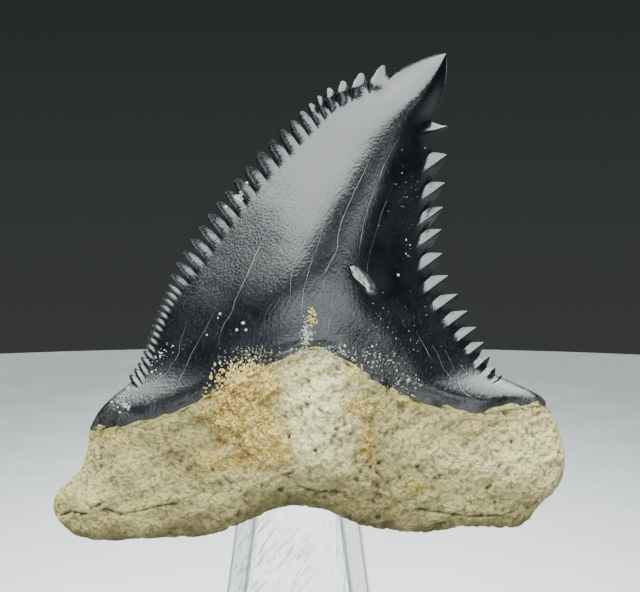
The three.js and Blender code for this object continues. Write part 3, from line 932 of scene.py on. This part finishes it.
class Recipe:
    """Short names for building the nodes of a material or of the world."""

    def __init__(self, owner):
        self.owner = owner
        self.nodes = owner.node_tree.nodes
        self.shader = self.nodes.get("Principled BSDF")

    def add(self, kind, **inputs):
        """A new node, with values or other nodes' outputs for its inputs."""
        node = self.nodes.new(kind)
        for key, value in inputs.items():
            self.put(node.inputs[key.replace("_", " ")], value)
        return node

    def put(self, socket, value):
        """Gives an input a value, or links another node's output to it."""
        if isinstance(value, bpy.types.NodeSocket):
            self.owner.node_tree.links.new(value, socket)
        else:
            socket.default_value = value

    def place(self, scale=(1, 1, 1), lean=0):
        """A point of the object, in millimetres, leant sideways and then multiplied by the scale."""
        coordinates = self.add("ShaderNodeTexCoord").outputs["Object"]
        mapping = self.add("ShaderNodeMapping", Vector=coordinates, Rotation=(0, lean, 0))
        mapping.vector_type = "TEXTURE"
        mapping.inputs["Scale"].default_value = [MM / v for v in scale]
        return mapping.outputs["Vector"]

    def away_from(self, point, scale=(1, 1, 1)):
        """How far a point of the object is from the given one, in millimetres."""
        node = self.add("ShaderNodeVectorMath", Vector=self.place(scale))
        node.operation = "DISTANCE"
        node.inputs[1].default_value = point
        return node.outputs["Value"]

    def noise(self, size, detail=4, place=None, roughness=0.55):
        """A cloudy pattern from 0 to 1 with features of the given size in millimetres."""
        node = self.add("ShaderNodeTexNoise", Vector=place or self.place(), Scale=1 / size,
                        Detail=detail, Roughness=roughness)
        return node.outputs["Fac"]

    def pebbles(self, size):
        """A pattern of round cells of the given size in millimetres, 0 in the middle of each."""
        node = self.add("ShaderNodeTexVoronoi", Vector=self.place(), Scale=1 / size)
        node.feature = "SMOOTH_F1"
        return node.outputs["Distance"]

    def attribute(self, name):
        """A number that the mesh has at each vertex."""
        node = self.add("ShaderNodeAttribute")
        node.attribute_name = name
        return node.outputs["Fac"]

    def span(self, value, low, high, to_low=0.0, to_high=1.0):
        """Moves a range of values smoothly onto another."""
        node = self.add("ShaderNodeMapRange", Value=value, From_Min=low, From_Max=high, To_Min=to_low,
                        To_Max=to_high)
        node.interpolation_type = "SMOOTHSTEP"
        return node.outputs["Result"]

    def math(self, operation, *values):
        """A product, sum or other reckoning of values."""
        node = self.add("ShaderNodeMath")
        node.operation = operation
        for socket, value in zip(node.inputs, values):
            self.put(socket, value)
        return node.outputs["Value"]

    def times(self, a, b):
        return self.math("MULTIPLY", a, b)

    def plus(self, a, b):
        return self.math("ADD", a, b)

    def mix(self, share, a, b):
        """A colour between two colours."""
        node = self.add("ShaderNodeMix")
        node.data_type = "RGBA"
        self.put(node.inputs["Factor"], share)
        self.put(node.inputs[6], a)
        self.put(node.inputs[7], b)
        return node.outputs[2]

    def bump(self, height, distance, normal=None):
        """A bump whose height is in millimetres."""
        node = self.add("ShaderNodeBump", Distance=distance * MM, Height=height)
        if normal is not None:
            self.put(node.inputs["Normal"], normal)
        return node.outputs["Normal"]

    def finish(self, **sockets):
        """The material, once its surface has these inputs."""
        for key, value in sockets.items():
            self.put(self.shader.inputs[key.replace("_", " ")], value)
        return self.owner


def enamel_material():
    """Blue-black glossy enamel, brushed and faintly striped, greyer and duller towards the root."""
    r = new_material("enamel")
    up = r.attribute("up")
    clouds = r.noise(2.2)
    colour = r.mix(r.span(clouds, 0.35, 0.7), (0.0016, 0.002, 0.0028, 1), (0.005, 0.0065, 0.008, 1))
    ragged = r.plus(up, r.span(r.noise(0.7), 0.3, 0.7, -0.02, 0.02))
    grey = r.span(ragged, 0.045, 0.0)
    colour = r.mix(grey, colour, (0.010, 0.010, 0.008, 1))
    dust = r.times(r.span(r.noise(0.12, 2), 0.68, 0.74), r.span(r.noise(2.5), 0.5, 0.6))
    dusty = r.times(dust, r.span(up, 0.4, 0.1, 0.03, 0.3))
    colour = r.mix(dusty, colour, (0.2, 0.2, 0.18, 1))
    stripes = r.noise(0.16, 2, r.place((1, 1, 0.02)))
    low = r.span(up, 0.55, 0.25)
    striped = r.times(r.span(stripes, 0.6, 0.72), r.times(low, 0.2))
    colour = r.mix(striped, colour, (0.05, 0.05, 0.045, 1))

    brushed = r.noise(0.16, 3)
    normal = r.bump(r.times(stripes, low), 0.012)
    normal = r.bump(r.noise(0.2, 4, r.place((1, 1, 0.12), math.radians(30))), 0.02, normal)
    normal = r.bump(brushed, 0.018, normal)
    normal = r.bump(dusty, 0.03, normal)
    dull = r.span(brushed, 0.3, 0.7, 0.17, 0.25)
    dull = r.plus(dull, r.times(grey, 0.15))
    dull = r.plus(dull, r.times(dusty, 0.4))
    return r.finish(Base_Color=colour, Roughness=dull, IOR=1.5, Normal=normal)


def root_material():
    """Porous bone-coloured root, stained yellow; painted light pales it to cream on its bulge and right end,
    and painted shade darkens it in its hollows, between its pebbly grains and along its underside.
    """
    r = new_material("root_bone")
    relief = r.attribute("relief")
    clouds = r.noise(3.0)
    colour = r.mix(r.span(clouds, 0.3, 0.7), (0.180, 0.150, 0.058, 1), (0.270, 0.230, 0.098, 1))
    # Painted light: paler cream where the bulge and the right end face the light
    colour = r.mix(r.attribute("pale"), colour, (0.55, 0.50, 0.25, 1))
    stained = r.times(r.attribute("yellow"), r.span(r.noise(0.7), 0.3, 0.65))
    colour = r.mix(r.span(stained, 0.05, 0.6), colour, (0.24, 0.155, 0.032, 1))
    grainy = r.noise(0.2, 3, roughness=0.6)
    pebbles = r.pebbles(0.26)
    # Painted shade: darker in the relief's low places and in the gaps between the pebbles
    painted_pore_shade = r.plus(r.span(relief, -0.04, -0.24), r.span(pebbles, 0.42, 0.66, 0, 0.8))
    colour = r.mix(r.times(painted_pore_shade, 0.7), colour, (0.050, 0.038, 0.018, 1))
    # Painted shade: dark along the root's underside, which faces away from the light
    painted_underside_shade = r.times(r.attribute("low"), r.span(r.noise(1.3), 0.35, 0.6, 0.35, 0.9))
    colour = r.mix(painted_underside_shade, colour, (0.055, 0.040, 0.016, 1))
    normal = r.bump(r.math("SUBTRACT", 1.0, pebbles), 0.2)
    normal = r.bump(grainy, 0.32, normal)
    rough = r.span(clouds, 0.3, 0.7, 0.75, 0.92)
    return r.finish(Base_Color=colour, Roughness=rough, Specular_IOR_Level=0.2, Normal=normal)


def scar_material():
    """Pale matte core, striated along the break."""
    r = new_material("broken_core")
    grooves = r.noise(0.13, 3, r.place((1.4, 1, 0.3), -CHIP_LEAN))
    colour = r.mix(r.span(grooves, 0.38, 0.62), (0.03, 0.028, 0.022, 1), (0.27, 0.26, 0.22, 1))
    rough = r.span(grooves, 0.3, 0.7, 0.6, 0.85)
    return r.finish(Base_Color=colour, Roughness=rough, Normal=r.bump(grooves, 0.06))


def crack_material():
    """Cream mineral that fills the cracks, cleaner in some places than in others."""
    r = new_material("crack_mineral")
    patches = r.noise(0.8)
    colour = r.mix(r.span(patches, 0.35, 0.65), (0.025, 0.026, 0.024, 1), (0.17, 0.17, 0.15, 1))
    rough = r.span(patches, 0.3, 0.7, 0.6, 0.85)
    return r.finish(Base_Color=colour, Roughness=rough, Normal=r.bump(r.noise(0.08), 0.02))


def grain_material(name, dark, light):
    """Sandy grains between two colours, each by its own tint."""
    r = new_material(name)
    tint = r.plus(r.attribute("tint"), r.span(r.noise(0.15), 0.3, 0.7, -0.2, 0.2))
    colour = r.mix(r.span(tint, 0, 1), dark, light)
    fine = r.noise(0.1)
    rough = r.span(fine, 0.3, 0.7, 0.6, 0.9)
    return r.finish(Base_Color=colour, Roughness=rough, Specular_IOR_Level=0.2, Normal=r.bump(fine, 0.03))


def post_edges(r):
    """Where the post's upright edges are, and its sides, for the painted shade that darkens the one and
    greys the other.
    """
    place = r.add("ShaderNodeSeparateXYZ", Vector=r.place())
    x = r.math("ABSOLUTE", place.outputs["X"])
    y = r.math("ABSOLUTE", place.outputs["Y"])
    half = r.math("MULTIPLY_ADD", place.outputs["Z"], -POST_TAPER, POST_HALF_AT_FOOT)
    inner = r.math("SUBTRACT", half, POST_CHAMFER)
    beside_x = r.math("ABSOLUTE", r.math("SUBTRACT", x, inner))
    beside_y = r.math("ABSOLUTE", r.math("SUBTRACT", y, inner))
    # Near each upright edge: rougher there, and darkened with painted shade
    edge = r.span(r.math("MINIMUM", beside_x, beside_y), 0.22, 0.06)
    # Painted shade: grey on the sides
    strip = r.times(r.span(r.math("SUBTRACT", x, inner), 0, 0.1), r.span(y, 0, 1))
    return edge, strip


def post_scratches(r):
    """Hair scratches all over the post, and slanting scuffs on its front."""
    scratches = r.noise(0.10, 2, r.place((1, 1, 0.05), math.radians(24)))
    hair = r.times(r.span(scratches, 0.66, 0.72), r.span(r.noise(4), 0.5, 0.65))
    slanting = r.noise(0.25, 3, r.place((1, 1, 0.06), math.radians(36)))
    near = r.span(r.away_from(SCUFFS_AT), SCUFFS_REACH, 2)
    return hair, r.times(r.span(slanting, 0.54, 0.66), near)


def acrylic_material():
    """Clear acrylic, scratched and streaked, rougher along its upright edges; painted shade darkens lines
    along those edges and greys its sides a little.
    """
    r = new_material("clear_acrylic")
    edge, strip = post_edges(r)
    hair, scuffs = post_scratches(r)
    marks = r.math("MAXIMUM", hair, scuffs)
    streaks = r.noise(0.3, 3, r.place((1, 1, 0.02)))
    normal = r.bump(streaks, 0.12)
    normal = r.bump(marks, 0.05, normal)
    rough = r.plus(r.span(streaks, 0.4, 0.7, 0.02, 0.12), r.times(hair, 0.25))
    rough = r.plus(rough, r.times(edge, 0.3))
    tint = r.mix(r.span(streaks, 0.35, 0.65), (1, 1, 1, 1), (0.82, 0.84, 0.82, 1))
    # Painted shade greys the sides and darkens lines along the upright edges; scratches and scuffs are
    # darkened too
    tint = r.mix(strip, tint, (0.52, 0.53, 0.46, 1))
    edge_shade_and_scratches = r.math("MAXIMUM", edge, r.times(marks, 0.6))
    tint = r.mix(edge_shade_and_scratches, tint, (0.10, 0.11, 0.10, 1))
    absorption = r.add("ShaderNodeVolumeAbsorption", Color=(0.90, 0.93, 0.86, 1), Density=60)
    r.put(r.nodes["Material Output"].inputs["Volume"], absorption.outputs["Volume"])
    return r.finish(Base_Color=tint, Roughness=rough, Normal=normal, IOR=1.49, Transmission_Weight=1)


def floor_material():
    """A pale table top with a painted pool of light: lighter near the stand, painted darker towards its rim.
    """
    r = new_material("floor_painted_pool")
    from_stand = r.away_from((0, 0, 0), (LIT_POOL_NARROW, 1, 1))
    # Painted light: palest near the stand, painted darker towards the rim
    near = r.span(from_stand, FLOOR_RADIUS / MM, LIT_POOL_REACH)
    near = r.plus(near, r.span(r.noise(6), 0.3, 0.7, -0.02, 0.02))
    colour = r.mix(near, (0.045, 0.05, 0.05, 1), (0.31, 0.325, 0.32, 1))
    fine = r.noise(0.8)
    rough = r.span(fine, 0.3, 0.7, 0.55, 0.7)
    return r.finish(Base_Color=colour, Roughness=rough, Normal=r.bump(fine, 0.02))


# Camera, floor and lights

def make_camera():
    """The photograph's camera."""
    data = bpy.data.cameras.new("photo_camera")
    data.sensor_width = SENSOR_WIDTH
    data.lens = FOCAL * SENSOR_WIDTH / PHOTO_WIDTH
    data.clip_start = 0.005
    data.clip_end = 20
    camera = put_in_scene("photo_camera", data)
    camera.location = CAMERA_PLACE * MM
    camera.rotation_euler = (math.pi / 2 - CAMERA_DOWN, 0, 0)
    bpy.context.scene.camera = camera


def make_floor():
    """The round table top that the stand is on."""
    turns = np.linspace(0, 2 * math.pi, 192, endpoint=False)
    rim = np.stack([FLOOR_RADIUS * np.cos(turns), FLOOR_RADIUS * np.sin(turns), 0 * turns], axis=1)
    finished_mesh("floor", rim, [list(range(len(rim)))], floor_material())


def add_softbox(name, centre, size, watts, colour, aim):
    """A soft rectangular light, in metres, that faces the aimed point."""
    data = bpy.data.lights.new(name, "AREA")
    data.shape = "RECTANGLE"
    data.size, data.size_y = size
    data.energy = watts
    data.color = colour
    light = put_in_scene(name, data)
    light.location = centre
    light.rotation_euler = (Vector(centre) - Vector(aim)).to_track_quat("Z", "Y").to_euler()
    light.visible_camera = False


def make_lights():
    """A large softbox overhead, a low wide one in front, and the dark studio around."""
    add_softbox("key", centre=(-0.07, 0, 0.4), size=(0.94, 0.9), watts=37, colour=(0.94, 1, 0.985),
                aim=(-0.07, 0, 0))
    add_softbox("front", centre=(0.03, -0.5, 0.09), size=(0.88, 0.14), watts=2.7, colour=(0.88, 0.96, 1),
                aim=(0.03, 0, 0.09))
    world = bpy.data.worlds.new("studio")
    world.use_nodes = True
    r = Recipe(world)
    height = r.add("ShaderNodeSeparateXYZ", Vector=r.add("ShaderNodeTexCoord").outputs["Generated"])
    colour = r.mix(r.span(height.outputs["Z"], -0.2, 0.0), BACKDROP_LOW, BACKDROP_HIGH)
    r.put(r.nodes["Background"].inputs["Color"], colour)
    bpy.context.scene.world = world


make_camera()
make_floor()
make_lights()

enamel = enamel_material()
bone = root_material()
acrylic = acrylic_material()

crown = make_crown(enamel)
root = make_root(bone)
surface = tooth_surface((crown, root))
cracks = make_crack_fillings(surface, crack_material())
rng = np.random.default_rng(SEED)
scar = make_chip_scar(surface, scar_material())
crust_stuff = grain_material("crust_sand", (0.11, 0.060, 0.010, 1), (0.38, 0.30, 0.10, 1))
crust = make_grains("crust_grains", grains_in_patches(surface, CRUST_PATCHES, rng), crust_stuff, rng)
speck_stuff = grain_material("white_sand", (0.05, 0.045, 0.03, 1), (0.30, 0.29, 0.24, 1))
specks = grains_in_patches(surface, SPECK_PATCHES, rng) + grains_at_spots(surface, WHITE_SPECKS, rng)
specks = make_grains("enamel_specks", specks, speck_stuff, rng)
for piece in (crown, root, cracks, scar, crust, specks):
    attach(piece, "root")
    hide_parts("tooth")

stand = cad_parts["stand"]
stand.data.materials.clear()
stand.data.materials.append(acrylic)
